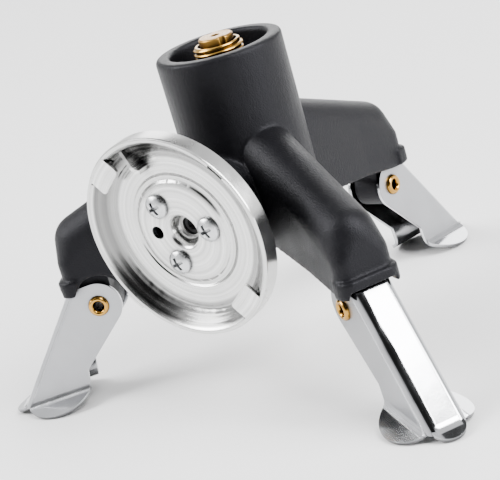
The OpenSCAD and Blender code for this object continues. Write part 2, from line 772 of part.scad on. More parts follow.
// Points of the spring's wire: rings of six corners along a helix
spring_sides = 6;
spring_steps = 14 * spring_turns;
spring_h = spring_len - spring_wire - 0.1;
function spring_corner(step, corner) = let (
    turn = 360 * spring_turns * step / spring_steps,
    around = 360 * corner / spring_sides,
    radius = spring_r + spring_wire / 2 * cos(around),
    level = chamber_end + spring_wire / 2 + 0.05 + spring_h * step / spring_steps)
    [radius * cos(turn), radius * sin(turn), level + spring_wire / 2 * sin(around)];
spring_points = [
    for (step = [0:spring_steps], corner = [0:spring_sides - 1]) spring_corner(step, corner)];
spring_faces = concat(
    [[for (corner = [0:spring_sides - 1]) corner]],
    [for (step = [0:spring_steps - 1], corner = [0:spring_sides - 1], half = [0, 1]) let (
        here = step * spring_sides + corner,
        beside = step * spring_sides + (corner + 1) % spring_sides)
        half == 0 ? [here, here + spring_sides, beside]
                  : [beside, here + spring_sides, beside + spring_sides]],
    [[for (corner = [spring_sides - 1:-1:0]) spring_steps * spring_sides + corner]]);

module valve_spring() color("#aeb1b5") polyhedron(points = spring_points, faces = spring_faces);

module stub_seal() color("#3a3b3d") ring(shank_r - 0.1, gas_r + 0.5, shank_end - seal_t, shank_end);

module gas_block() {
    block_end = block_top - block_h;
    color("#b88c3a") difference() {
        translate([0, 0, block_end]) cylinder(r = block_r, h = block_h);
        to_coupling() translate([-big, -big, flat_y]) cube([2 * big, 2 * big, big]);
        ring(shank_r + 0.03, 0, shank_end - seal_t, big);
        ring(gas_r + 0.15, 0, gas_level - gas_r - 0.6, big);
        to_coupling() cylinder(r = gas_r, h = big);
        to_coupling() translate([0, 0, nozzle_root]) cylinder(r = nozzle_thread_r + 0.03, h = big);
        translate([-1, -big, block_end - 1]) cube([2, 2 * big, 2.2]);
    }
}

module inlet_nozzle() {
    shoulder = flat_y + 2 * ring_wire_r - 0.15;
    color("#c9a14a") to_coupling() difference() {
        union() {
            ring(nozzle_r, 0, shoulder, nozzle_end);
            ring(nozzle_thread_r, 0, nozzle_root + 0.1, shoulder + eps);
        }
        ring(gas_r, 0, -big, big);
        ring(filter_r + 0.05, 0, -big, nozzle_root + 0.2 + filter_t);
        ring(inlet_seal_r + 0.03, 0, nozzle_end - inlet_seal_t, big);
    }
}

module nozzle_seal() {
    seat = nozzle_thread_r + ring_wire_r + 0.05;
    color("#303234") to_coupling() translate([0, 0, flat_y + ring_wire_r + 0.01]) rotate_extrude()
        intersection() {
            translate([seat, 0]) circle(r = ring_wire_r);
            translate([0, -ring_wire_r]) square([big, 2 * ring_wire_r - 0.2]);
        }
}

module inlet_filter()
    color("#8f6b3a") to_coupling() ring(filter_r, 0, nozzle_root + 0.15, nozzle_root + 0.15 + filter_t);

module inlet_seal()
    color("#1f2022") to_coupling() ring(inlet_seal_r, inlet_seal_bore, nozzle_end - inlet_seal_t, nozzle_end);

body_shell();
outlet_stub();
valve_retainer();
valve_gasket();
valve_pin();
valve_spring();
stub_seal();
gas_block();
inlet_nozzle();
nozzle_seal();
inlet_filter();
inlet_seal();
coupling_plate();
plate_screws();
leg_1();
leg_2();
leg_3();
rivet_1();
rivet_2();
rivet_3();
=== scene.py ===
"""Looks for the folding burner stand.

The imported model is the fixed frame. This file dresses its nodes, builds the pieces that need rolled
edges, threads or moulded corners, and sets up the floor, the light and the camera. Lengths are in
millimetres and angles in degrees, unless a name or a docstring says otherwise. The meshes and the
inside of the materials are in metres.
"""

import logging
import math
from dataclasses import dataclass
from enum import Enum
from typing import Iterable

import bmesh
import bpy
from mathutils import Matrix, Vector


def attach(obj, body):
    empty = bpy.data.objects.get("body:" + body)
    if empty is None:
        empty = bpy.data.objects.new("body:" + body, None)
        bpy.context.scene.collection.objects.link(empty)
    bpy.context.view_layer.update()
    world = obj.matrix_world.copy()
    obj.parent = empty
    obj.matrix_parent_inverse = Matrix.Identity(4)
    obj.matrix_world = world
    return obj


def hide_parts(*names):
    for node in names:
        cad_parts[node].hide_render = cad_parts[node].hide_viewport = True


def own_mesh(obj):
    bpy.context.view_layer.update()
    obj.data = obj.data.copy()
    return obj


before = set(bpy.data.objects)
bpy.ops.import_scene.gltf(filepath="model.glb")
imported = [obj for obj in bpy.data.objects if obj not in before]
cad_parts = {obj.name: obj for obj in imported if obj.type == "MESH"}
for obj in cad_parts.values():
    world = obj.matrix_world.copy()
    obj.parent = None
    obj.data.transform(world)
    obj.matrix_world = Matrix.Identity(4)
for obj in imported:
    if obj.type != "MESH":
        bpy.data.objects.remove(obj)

LOG = logging.getLogger("burner_stand")
MM = 0.001
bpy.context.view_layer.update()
Point = tuple[float, float]
Triple = tuple[float, float, float]
Colour = Triple
Socket = bpy.types.NodeSocket

# Where the three legs point, counted from +X towards +Y.
LEG_TURNS = (-30.0, 90.0, 210.0)
# The middle of the coupling plate, and how far its axis slopes down.
PLATE_CENTRE: Triple = (0.0, -30.44, -31.96)
PLATE_SLOPE = 3.5


# ---- finishes -----------------------------------------------------------------------------------

# Sockets of a Mix node for colours, by place, because several of them share a name.
MIX_FACTOR, MIX_FIRST, MIX_SECOND, MIX_RESULT = 0, 6, 7, 2
NOISE_ROUGHNESS = 0.55
# Samples of the lookup that paints shade into corners and hollows.
CREVICE_SAMPLES = 8
# How far the border between two painted tones fades.
FADE = 0.1
WHITE: Colour = (1.0, 1.0, 1.0)


def grey(level: float) -> Colour:
    """Returns a colour with three equal parts."""
    return (level, level, level)


class Pattern(Enum):
    """How the marks on a metal surface run."""

    PLAIN = "plain"
    SPUN = "spun"


@dataclass(frozen=True)
class Grain:
    """A noise.

    Attributes:
        scale: how often it changes in a metre.
        detail: how many finer layers it has.
    """

    scale: float
    detail: float


@dataclass(frozen=True)
class Relief:
    """How a height is shaded.

    Attributes:
        strength: how much of it is shaded, up to 1.
        depth: its depth.
    """

    strength: float
    depth: float


# Noises and reliefs that the bare metals share.
METAL_CLOUD = Grain(120.0, 5.0)
METAL_GRAIN = Grain(2200.0, 2.0)
METAL_RINGS = Grain(3200.0, 3.0)
METAL_STREAKS = Grain(1100.0, 4.0)
METAL_SOFT = Relief(0.08, 0.3)
METAL_MARK_DEPTH = 0.03
# The span of the cloudy noise over which a metal goes from its dark to its light tone.
CLOUD_SPAN: Point = (0.3, 0.7)


class Tree:
    """A node tree with short ways to add nodes and wires."""

    def __init__(self, tree: bpy.types.NodeTree) -> None:
        """Starts work on the tree of a material or a world, and adds its coordinates."""
        self.tree = tree
        self.coords = tree.nodes.new("ShaderNodeTexCoord")

    def feed(self, socket: Socket, value: object) -> None:
        """Gives an input a wire or a value of its own.

        Args:
            socket: the input.
            value: the output that it reads, or its value, with three parts for a colour.
        """
        if isinstance(value, Socket):
            self.tree.links.new(value, socket)
        elif socket.type == "RGBA":
            socket.default_value = (*value, 1.0)
        else:
            socket.default_value = value

    def add(self, kind: str, *sources: object, **settings: object) -> bpy.types.Node:
        """Adds a node.

        Args:
            kind: the node's class without the ShaderNode prefix.
            sources: an output or a value for each of its inputs, in their order.
            settings: a property of the node, or an output or a value for an input, by name with _ for
                a space.

        Returns:
            The new node.
        """
        node = self.tree.nodes.new("ShaderNode" + kind)
        for key, value in settings.items():
            if hasattr(node, key):
                setattr(node, key, value)
            else:
                self.feed(node.inputs[key.replace("_", " ")], value)
        for socket, value in zip(node.inputs, sources):
            self.feed(socket, value)
        return node

    def reckon(self, operation: str, *sources: Socket | float) -> Socket:
        """Works out a number from one or two others."""
        return self.add("Math", *sources, operation=operation).outputs[0]

    def ramp(self, source: Socket, low: float, high: float, start: float = 0.35, end: float = 0.65,
             smooth: bool = False) -> Socket:
        """Maps one span of a number onto another.

        Args:
            source: the number.
            low: what it becomes up to the start.
            high: what it becomes from the end.
            start: where the span starts.
            end: where the span ends.
            smooth: whether the change sets in and fades out softly.

        Returns:
            The mapped number.
        """
        node = self.add("MapRange", clamp=True, interpolation_type="SMOOTHSTEP" if smooth else "LINEAR",
                        Value=source, From_Min=start, From_Max=end, To_Min=low, To_Max=high)
        return node.outputs[0]

    def stops(self, source: Socket, steps: list[tuple[float, Colour]]) -> Socket:
        """Colours a number between 0 and 1.

        Args:
            source: the number.
            steps: the place and the colour of each stop, in order and from 0 to 1.

        Returns:
            The colour.
        """
        node = self.add("ValToRGB", source)
        elements = node.color_ramp.elements
        for element, (position, colour) in zip(elements, (steps[0], steps[-1])):
            element.position, element.color = position, (*colour, 1.0)
        for position, colour in steps[1:-1]:
            elements.new(position).color = (*colour, 1.0)
        return node.outputs[0]


class MaterialTree(Tree):
    """The node tree of one material."""

    def __init__(self, name: str) -> None:
        """Starts an empty material with one Principled shader.

        Args:
            name: the material's name.
        """
        self.material = bpy.data.materials.new(name)
        self.material.use_nodes = True
        self.material.node_tree.nodes.clear()
        super().__init__(self.material.node_tree)
        self.shader = self.add("BsdfPrincipled")
        self.add("OutputMaterial", Surface=self.shader.outputs["BSDF"])

    def finish(self, **inputs: object) -> bpy.types.Material:
        """Feeds the shader.

        Args:
            inputs: an output or a value for each input, by name with _ for a space.

        Returns:
            The finished material.
        """
        for key, value in inputs.items():
            self.feed(self.shader.inputs[key.replace("_", " ")], value)
        return self.material

    def place(self, centre: Triple = (0.0, 0.0, 0.0), turn: Triple = (0.0, 0.0, 0.0)) -> Socket:
        """Adds a place that is fixed to the piece.

        Args:
            centre: what is moved to the pattern's origin.
            turn: turn of the pattern in radians.

        Returns:
            The place, in metres.
        """
        shift = self.add("VectorMath", self.coords.outputs["Object"], [part * MM for part in centre],
                         operation="SUBTRACT")
        return self.add("Mapping", vector_type="POINT", Vector=shift.outputs[0], Rotation=turn).outputs[0]

    def noise(self, place: Socket, grain: Grain) -> Socket:
        """Returns a number that wanders between 0 and 1 from place to place."""
        return self.add("TexNoise", Vector=place, Scale=grain.scale, Detail=grain.detail,
                        Roughness=NOISE_ROUGHNESS).outputs[0]

    def blend(self, factor: Socket | float, first: Socket | Colour, second: Socket | Colour,
              way: str = "MIX") -> Socket:
        """Mixes two colours.

        Args:
            factor: how much of the second is taken.
            first: the colour at factor 0.
            second: the colour at factor 1.
            way: how the second acts on the first.

        Returns:
            The mixed colour.
        """
        node = self.add("Mix", data_type="RGBA", blend_type=way)
        for socket, value in ((MIX_FACTOR, factor), (MIX_FIRST, first), (MIX_SECOND, second)):
            self.feed(node.inputs[socket], value)
        return node.outputs[MIX_RESULT]

    def multiply(self, tone: Socket, shade: Socket) -> Socket:
        """Darkens a colour by another."""
        return self.blend(1.0, tone, shade, "MULTIPLY")

    def bump(self, height: Socket, relief: Relief, under: Socket | None = None) -> Socket:
        """Shades a height.

        Args:
            height: the height.
            relief: how it is shaded.
            under: the shaded surface that it lies on, if that isn't the bare mesh.

        Returns:
            The direction of the shaded surface.
        """
        node = self.add("Bump", Strength=relief.strength, Distance=relief.depth * MM, Height=height)
        if under is not None:
            self.feed(node.inputs["Normal"], under)
        return node.outputs[0]

    def painted_shade(self, tone: Socket, depth: float, reach: float, span: Point = (0.45, 0.95)) -> Socket:
        """Paints shade into corners and hollows, by darkening a colour there.

        Args:
            tone: the colour without painted shade.
            depth: how much of the colour the painted shade takes in the deepest corner.
            reach: how far apart the walls of a hollow may be.
            span: the openness at which the painted shade is darkest, and that from which there is none.

        Returns:
            The colour with painted shade.
        """
        corner = self.add("AmbientOcclusion", samples=CREVICE_SAMPLES, Distance=reach * MM)
        unshaded = self.ramp(corner.outputs["AO"], 0.0, 1.0, *span)
        return self.multiply(tone, self.blend(unshaded, grey(1.0 - depth), WHITE))


@dataclass(frozen=True)
class MouldedNylon:
    """Black glass-filled nylon with a fine spark-eroded grain."""

    name: str = "moulded_nylon"
    dark: Colour = (0.0016, 0.0016, 0.0022)
    light: Colour = (0.0034, 0.0034, 0.0044)
    cloud: Grain = Grain(90.0, 4.0)
    grain: Grain = Grain(3300.0, 2.0)
    roughness: Point = (0.36, 0.46)
    cloud_relief: Relief = Relief(0.10, 0.2)
    grain_relief: Relief = Relief(1.0, 0.12)
    ior: float = 1.5
    gloss: float = 0.17
    gloss_tint: Colour = (0.92, 0.92, 1.0)

    def build(self) -> bpy.types.Material:
        """Makes the finish.

        Returns:
            The finished material.
        """
        tree = MaterialTree(self.name)
        place = tree.place()
        cloud = tree.noise(place, self.cloud)
        soft = tree.bump(cloud, self.cloud_relief)
        return tree.finish(
            Base_Color=tree.blend(tree.ramp(cloud, 0.0, 1.0), self.dark, self.light),
            Roughness=tree.ramp(cloud, *self.roughness),
            Normal=tree.bump(tree.noise(place, self.grain), self.grain_relief, soft),
            IOR=self.ior, Specular_IOR_Level=self.gloss, Specular_Tint=self.gloss_tint)


@dataclass(frozen=True)
class Slope:
    """A round slope, as where the sheet is pressed into a step.

    Attributes:
        inner: the radius at which it starts.
        outer: the radius at which it ends.
        rise: how far the metal rises outward.
    """

    inner: float
    outer: float
    rise: float


@dataclass(frozen=True)
class Ribs:
    """The low ribs that a roller leaves round the metal.

    Attributes:
        inner: the radius at which they start.
        outer: the radius at which they end.
        pitch: the step from rib to rib.
        depth: half their height.
    """

    inner: float
    outer: float
    pitch: float
    depth: float


@dataclass(frozen=True)
class BareMetal:
    """A bare metal with a fine grain, or with turned rings round an axis.

    Attributes:
        name: the material's name.
        colour: the metal's light tone.
        shade: the metal's dark tone.
        roughness: how dull it is at its brightest.
        spread: how much duller it gets.
        pattern: how its marks run.
        centre: a point of the axis.
        turn: the turn in radians that lays the axis along Z.
        marks: how strongly the marks are shaded.
        anisotropy: how far a highlight is drawn out across the marks.
        crevice: how much of the colour is lost to painted shade in a corner.
        reach: how far apart the walls of a hollow with painted shade may be.
        bore: the radius of a bore round the axis that is painted dark as shade, or 0.
        bands: radii and how much light the painted shade leaves there; the last radius is the largest
            that counts.
        front: how far from the centre, along the axis, the bands begin to count.
        slopes: the round slopes that are shaded.
        ribs: the roller's ribs that are shaded.
        bore_shade: the painted shade inside the bore.
        mark_dullness: what the marks take from and add to the dullness, as shares of the spread.
        streak_span: the span of the streaky noise over which the bands clear up.
        streak_level: how much of the colour is left where they are darkest.
    """

    name: str
    colour: Colour
    shade: Colour
    roughness: float
    spread: float
    pattern: Pattern = Pattern.PLAIN
    centre: Triple = (0.0, 0.0, 0.0)
    turn: Triple = (0.0, 0.0, 0.0)
    marks: float = 0.25
    anisotropy: float = 0.0
    crevice: float = 0.0
    reach: float = 1.6
    bore: float = 0.0
    bands: tuple[Point, ...] = ()
    front: float = 0.0
    slopes: tuple[Slope, ...] = ()
    ribs: Ribs | None = None
    bore_shade: Colour = (0.02, 0.012, 0.005)
    mark_dullness: Point = (-0.4, 0.6)
    streak_span: Point = (0.38, 0.62)
    streak_level: float = 0.66

    def build(self) -> bpy.types.Material:
        """Makes the finish.

        Returns:
            The finished material.
        """
        tree = MaterialTree(self.name)
        place = tree.place()
        cloud = tree.noise(place, METAL_CLOUD)
        marks = self.rings(tree) if self.pattern is Pattern.SPUN else tree.noise(place, METAL_GRAIN)
        tone = tree.blend(tree.ramp(cloud, 0.0, 1.0, *CLOUD_SPAN), self.shade, self.colour)
        # Painted shade in corners and hollows.
        if self.crevice > 0:
            tone = tree.painted_shade(tone, self.crevice, self.reach)
        # Painted shade inside the bore.
        if self.bore > 0:
            outside = tree.ramp(self.distance(tree), 0.0, 1.0, self.bore * MM, (self.bore + FADE) * MM)
            tone = tree.blend(outside, self.bore_shade, tone)
        # Painted shade in rings round the axis.
        if self.bands:
            tone = self.banded(tree, tone)
        surface = tree.bump(cloud, METAL_SOFT)
        for slope in self.slopes:
            surface = self.sloped(tree, surface, slope)
        if self.ribs is not None:
            surface = self.ribbed(tree, surface, self.ribs)
        low, high = self.mark_dullness
        rough = tree.reckon("ADD", tree.ramp(cloud, self.roughness, self.roughness + self.spread),
                            tree.ramp(marks, low * self.spread, high * self.spread))
        return tree.finish(
            Base_Color=tone, Roughness=rough,
            Normal=tree.bump(marks, Relief(self.marks, METAL_MARK_DEPTH), surface),
            Metallic=1.0, Anisotropic=self.anisotropy)

    def banded(self, tree: MaterialTree, tone: Socket) -> Socket:
        """Paints shade onto the metal by its distance from the axis, with streaks that run round it.

        What lies within a short distance of the centre along the axis keeps its tone.

        Args:
            tree: the material that is being made.
            tone: the even metal's colour.

        Returns:
            The colour with its painted shade in rings.
        """
        distance = self.distance(tree)
        last = self.bands[-1][0]
        steps = [(0.0, WHITE), *((radius / last, grey(level)) for radius, level in self.bands)]
        bands = tree.stops(tree.ramp(distance, 0.0, 1.0, 0.0, last * MM), steps)
        along = tree.add("SeparateXYZ", tree.place(self.centre, self.turn)).outputs["Z"]
        away = tree.ramp(tree.reckon("ABSOLUTE", along), 0.0, 1.0,
                         (self.front - FADE) * MM, (self.front + FADE) * MM)
        shaded = tree.multiply(tone, tree.blend(away, WHITE, bands))
        streaks = tree.noise(tree.add("CombineXYZ", distance).outputs[0], METAL_STREAKS)
        clear = tree.ramp(streaks, 0.0, 1.0, *self.streak_span)
        return tree.multiply(shaded, tree.blend(clear, grey(self.streak_level), WHITE))

    def sloped(self, tree: MaterialTree, under: Socket, slope: Slope) -> Socket:
        """Shades a round slope.

        Args:
            tree: the material that is being made.
            under: the surface that it lies on.
            slope: the slope.

        Returns:
            The direction of the shaded surface.
        """
        height = tree.ramp(self.distance(tree), 0.0, math.copysign(1.0, slope.rise),
                           slope.inner * MM, slope.outer * MM, smooth=True)
        return tree.bump(height, Relief(1.0, abs(slope.rise)), under)

    def ribbed(self, tree: MaterialTree, under: Socket, ribs: Ribs) -> Socket:
        """Shades the roller's ribs, which fade in and out over one pitch.

        Args:
            tree: the material that is being made.
            under: the surface that they lie on.
            ribs: the ribs.

        Returns:
            The direction of the shaded surface.
        """
        distance = self.distance(tree)
        wave = tree.reckon("SINE", tree.reckon("MULTIPLY", distance, 2 * math.pi / (ribs.pitch * MM)))
        fade_in = tree.ramp(distance, 0.0, 1.0, ribs.inner * MM, (ribs.inner + ribs.pitch) * MM)
        fade_out = tree.ramp(distance, 1.0, 0.0, (ribs.outer - ribs.pitch) * MM, ribs.outer * MM)
        for fade in (fade_in, fade_out):
            wave = tree.reckon("MULTIPLY", wave, fade)
        return tree.bump(wave, Relief(1.0, ribs.depth), under)

    def distance(self, tree: MaterialTree) -> Socket:
        """Returns the distance from the pattern's axis, in metres."""
        flat = tree.add("VectorMath", tree.place(self.centre, self.turn), (1, 1, 0), operation="MULTIPLY")
        return tree.add("VectorMath", flat.outputs[0], operation="LENGTH").outputs["Value"]

    def rings(self, tree: MaterialTree) -> Socket:
        """Returns the height of turned rings, a noise that reads only the distance from the axis."""
        return tree.noise(tree.add("CombineXYZ", self.distance(tree)).outputs[0], METAL_RINGS)


@dataclass(frozen=True)
class LegSheet:
    """Pressed steel sheet with a polished web, satin sides, a shallow crease along the web and painted
    shade in its hollows.

    Attributes:
        index: the leg's number.
        turn: where the leg points.
        half_w: half the leg's width over its sides.
        polished: the colour of the web and the ears.
        satin: the colour of the sides.
        side_fade: where the satin sets in, counted outward from half_w.
        ear_fade: where it ends, counted in the same way.
        cloud_level: how much of the colour is left where the clouds are darkest.
        roughness: how dull the polished and the satin sheet are.
        unevenness: what the clouds add to that.
        polish: how much of the fine grain is left where the sheet is polished.
        marks: how strongly the fine grain is shaded.
        crease_from: the place across the web where the crease starts.
        crease_to: the place where it ends.
        crease_depth: how far the web steps there.
        wander: how far the crease strays to each side along the leg.
        wander_grain: how often it strays.
        wander_span: the span of that noise that makes it stray.
        channel: how far apart the walls of a hollow with painted shade may be.
        crevice: how much of the colour is lost to painted shade in a hollow.
        crevice_span: the openness where the painted shade is darkest, and that from which there is none.
    """

    index: int
    turn: float
    half_w: float = 4.6
    polished: Colour = (0.68, 0.69, 0.71)
    satin: Colour = (0.40, 0.405, 0.42)
    side_fade: Point = (-0.3, -0.05)
    ear_fade: Point = (0.1, 0.6)
    cloud_level: float = 0.88
    roughness: Point = (0.11, 0.30)
    unevenness: Point = (-0.02, 0.06)
    polish: float = 0.25
    marks: float = 0.25
    crease_from: float = -4.3
    crease_to: float = -1.9
    crease_depth: float = 0.42
    wander: float = 0.4
    wander_grain: Grain = Grain(70.0, 2.0)
    wander_span: Point = (0.2, 0.8)
    channel: float = 9.0
    crevice: float = 0.88
    crevice_span: Point = (0.35, 0.8)

    def build(self) -> bpy.types.Material:
        """Makes the finish.

        Returns:
            The finished material.
        """
        tree = MaterialTree("leg_sheet_%d" % self.index)
        cloud = tree.noise(tree.place(), METAL_CLOUD)
        turned_place = tree.place(turn=(0.0, 0.0, -math.radians(self.turn)))
        across = tree.add("SeparateXYZ", turned_place).outputs["Y"]
        dull = self.dullness(tree, across)
        clouds = tree.blend(tree.ramp(cloud, 0.0, 1.0, *CLOUD_SPAN), grey(self.cloud_level), WHITE)
        tone = tree.multiply(tree.blend(dull, self.polished, self.satin), clouds)
        rough = tree.reckon("ADD", tree.ramp(dull, *self.roughness, 0.0, 1.0),
                            tree.ramp(cloud, *self.unevenness))
        soft = tree.bump(cloud, METAL_SOFT)
        crease = tree.bump(self.crease(tree, across), Relief(1.0, self.crease_depth), soft)
        grain = tree.reckon("MULTIPLY", tree.noise(tree.place(), METAL_GRAIN),
                            tree.ramp(dull, self.polish, 1.0))
        # The base colour gets painted shade in the channel and its corners.
        return tree.finish(
            Base_Color=tree.painted_shade(tone, self.crevice, self.channel, self.crevice_span), Roughness=rough,
            Normal=tree.bump(grain, Relief(self.marks, METAL_MARK_DEPTH), crease), Metallic=1.0)

    def dullness(self, tree: MaterialTree, across: Socket) -> Socket:
        """Tells the satin sides from the polished web and ears.

        Args:
            tree: the material that is being made.
            across: the place across the leg.

        Returns:
            1 on the sides and 0 elsewhere.
        """
        off = tree.reckon("ABSOLUTE", across)
        side_from, side_to = ((self.half_w + step) * MM for step in self.side_fade)
        ear_from, ear_to = ((self.half_w + step) * MM for step in self.ear_fade)
        return tree.reckon("MULTIPLY", tree.ramp(off, 0.0, 1.0, side_from, side_to),
                           tree.ramp(off, 1.0, 0.0, ear_from, ear_to))

    def crease(self, tree: MaterialTree, across: Socket) -> Socket:
        """Adds the height of the step in the web, which wanders a little along the leg.

        Args:
            tree: the material that is being made.
            across: the place across the leg.

        Returns:
            The height, from 0 to 1.
        """
        stray = tree.ramp(tree.noise(tree.place(), self.wander_grain), -self.wander * MM,
                          self.wander * MM, *self.wander_span)
        return tree.ramp(tree.reckon("ADD", across, stray), 0.0, 1.0,
                         self.crease_from * MM, self.crease_to * MM, smooth=True)


@dataclass(frozen=True)
class SealRubber:
    """Black nitrile with a dull skin."""

    name: str = "seal_rubber"
    dark: Colour = (0.012, 0.012, 0.013)
    light: Colour = (0.02, 0.02, 0.021)
    grain: Grain = Grain(3000.0, 2.0)
    relief: Relief = Relief(0.2, 0.05)
    roughness: float = 0.6

    def build(self) -> bpy.types.Material:
        """Makes the finish.

        Returns:
            The finished material.
        """
        tree = MaterialTree(self.name)
        grain = tree.noise(tree.place(), self.grain)
        return tree.finish(Base_Color=tree.blend(tree.ramp(grain, 0.0, 1.0), self.dark, self.light),
                           Normal=tree.bump(grain, self.relief), Roughness=self.roughness)


@dataclass(frozen=True)
class StudioFloor:
    """The pale floor under the stand."""

    name: str = "studio_floor"
    dark: Colour = (0.90, 0.90, 0.90)
    light: Colour = (0.92, 0.92, 0.92)
    cloud: Grain = Grain(3.0, 2.0)
    roughness: float = 0.8

    def build(self) -> bpy.types.Material:
        """Makes the finish.

        Returns:
            The finished material.
        """
        tree = MaterialTree(self.name)
        cloud = tree.ramp(tree.noise(tree.place(), self.cloud), 0.0, 1.0)
        return tree.finish(Base_Color=tree.blend(cloud, self.dark, self.light), Roughness=self.roughness)


# ---- mesh helpers -------------------------------------------------------------------------------

# Pieces in a rounded corner of a profile, and the most of a side that the corner takes.
CORNER_STEPS = 4
CORNER_SHARE = 0.48
# How far apart, in metres, points are still one: at the seam of a turn, and in a CAD node's mesh.
SEAM_GAP = 1e-7
NODE_GAP = 2e-6
# Faces that meet at a smaller angle are made one before their edges are rounded.
FLAT_ANGLE = 0.6
BEVEL_STEPS = 2
# The angle from which an edge stays sharp, on most pieces and on thin round ones.
SHARP_ANGLE = 38.0
ROUND_SHARP_ANGLE = 70.0


def round_corners(path: list[Point], radii: dict[int, float]) -> list[Point]:
    """Rounds corners of a closed profile.

    Args:
        path: the profile's corners.
        radii: the radius at each corner's place in the path.

    Returns:
        The profile with arcs in place of the corners.
    """
    result: list[Point] = []
    for i, corner in enumerate(path):
        if i not in radii:
            result.append(corner)
            continue
        here = Vector(corner)
        before = Vector(path[i - 1]) - here
        after = Vector(path[(i + 1) % len(path)]) - here
        cut = min(radii[i] / math.tan(before.angle(after) / 2),
                  CORNER_SHARE * before.length, CORNER_SHARE * after.length)
        first, last = here + before.normalized() * cut, here + after.normalized() * cut
        for step in range(CORNER_STEPS + 1):
            t = step / CORNER_STEPS
            point = (1 - t) ** 2 * first + 2 * t * (1 - t) * here + t * t * last
            result.append((point.x, point.y))
    return result


def turned(path: Iterable[Point], steps: int) -> bmesh.types.BMesh:
    """Turns a closed profile of (radius, height) about the Z axis.

    Args:
        path: the profile's points in order.
        steps: pieces round the turn.

    Returns:
        The turned mesh in metres.
    """
    bm = bmesh.new()
    verts = [bm.verts.new((radius * MM, 0.0, height * MM)) for radius, height in path]
    edges = [bm.edges.new((verts[i], verts[(i + 1) % len(verts)])) for i in range(len(verts))]
    bmesh.ops.spin(bm, geom=verts + edges, cent=(0, 0, 0), axis=(0, 0, 1), dvec=(0, 0, 0),
                   angle=2 * math.pi, steps=steps, use_merge=True)
    bmesh.ops.remove_doubles(bm, verts=bm.verts, dist=SEAM_GAP)
    bmesh.ops.recalc_face_normals(bm, faces=bm.faces)
    return bm


def piece(name: str, bm: bmesh.types.BMesh, material: bpy.types.Material, body: str,
          place: Matrix | None = None, sharp: float = SHARP_ANGLE) -> bpy.types.Object:
    """Makes an object from a mesh, dresses it and lets it ride on a body.

    Args:
        name: the piece's name.
        bm: its mesh, which is freed.
        material: its finish.
        body: the body that it rides on.
        place: where the mesh goes.
        sharp: the angle from which an edge stays sharp.

    Returns:
        The new object.
    """
    if place is not None:
        bmesh.ops.transform(bm, matrix=place, verts=bm.verts)
    mesh = bpy.data.meshes.new(name)
    bm.to_mesh(mesh)
    bm.free()
    for polygon in mesh.polygons:
        polygon.use_smooth = True
    mesh.set_sharp_from_angle(angle=math.radians(sharp))
    obj = bpy.data.objects.new(name, mesh)
    bpy.context.scene.collection.objects.link(obj)
    mesh.materials.append(material)
    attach(obj, body)
    LOG.info("%s: %d vertices on %s", name, len(mesh.vertices), body)
    return obj


def settle(obj: bpy.types.Object) -> None:
    """Applies an object's modifiers to its mesh.

    Args:
        obj: the object.
    """
    bpy.context.view_layer.update()
    graph = bpy.context.evaluated_depsgraph_get()
    mesh = bpy.data.meshes.new_from_object(obj.evaluated_get(graph))
    old = obj.data
    obj.modifiers.clear()
    obj.data = mesh
    bpy.data.meshes.remove(old)


def node_copy(node: str) -> bmesh.types.BMesh:
    """Copies a CAD node's mesh with its loose triangles joined.

    Args:
        node: the CAD node.

    Returns:
        The joined mesh in metres.
    """
    bm = bmesh.new()
    bm.from_mesh(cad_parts[node].data)
    bmesh.ops.remove_doubles(bm, verts=bm.verts, dist=NODE_GAP)
    return bm


def softened(node: str, width: float, angle: float) -> bmesh.types.BMesh:
    """Copies a CAD node's mesh and rounds its sharp edges.

    Args:
        node: the CAD node.
        width: how far the rounding reaches from an edge.
        angle: the least angle between two faces for their edge to be rounded.

    Returns:
        The rounded mesh in metres.
    """
    bm = node_copy(node)
    bmesh.ops.dissolve_limit(bm, angle_limit=math.radians(FLAT_ANGLE), use_dissolve_boundaries=False,
                             verts=bm.verts, edges=bm.edges, delimit={"NORMAL"})
    limit = math.radians(angle)
    edges = [edge for edge in bm.edges if len(edge.link_faces) == 2 and edge.calc_face_angle(0.0) > limit]
    bmesh.ops.bevel(bm, geom=edges, offset=width * MM, offset_type="OFFSET", affect="EDGES",
                    segments=BEVEL_STEPS, profile=0.5, material=-1, clamp_overlap=True)
    return bm


# ---- sub-assemblies -----------------------------------------------------------------------------


@dataclass
class RoundedNode:
    """A CAD node whose edges are rounded as the real piece's are.

    Attributes:
        node: the CAD node.
        body: the body that it rides on.
        slot: the name of the record's material slot for its finish; not used.
        width: how far the rounding reaches from an edge.
        angle: the least angle between two faces for their edge to be rounded.
        sharp: the angle from which an edge stays sharp.
    """

    node: str
    body: str
    slot: str
    width: float
    angle: float = 32.0
    sharp: float = 34.0

    def build(self, material: bpy.types.Material) -> None:
        """Builds the rounded piece in place of its CAD node.

        Args:
            material: its finish.
        """
        obj = piece(self.node + "_rounded", softened(self.node, self.width, self.angle), material,
                    self.body, sharp=self.sharp)
        flat = obj.modifiers.new("flat_faces", "WEIGHTED_NORMAL")
        flat.keep_sharp = True
        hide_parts(self.node)


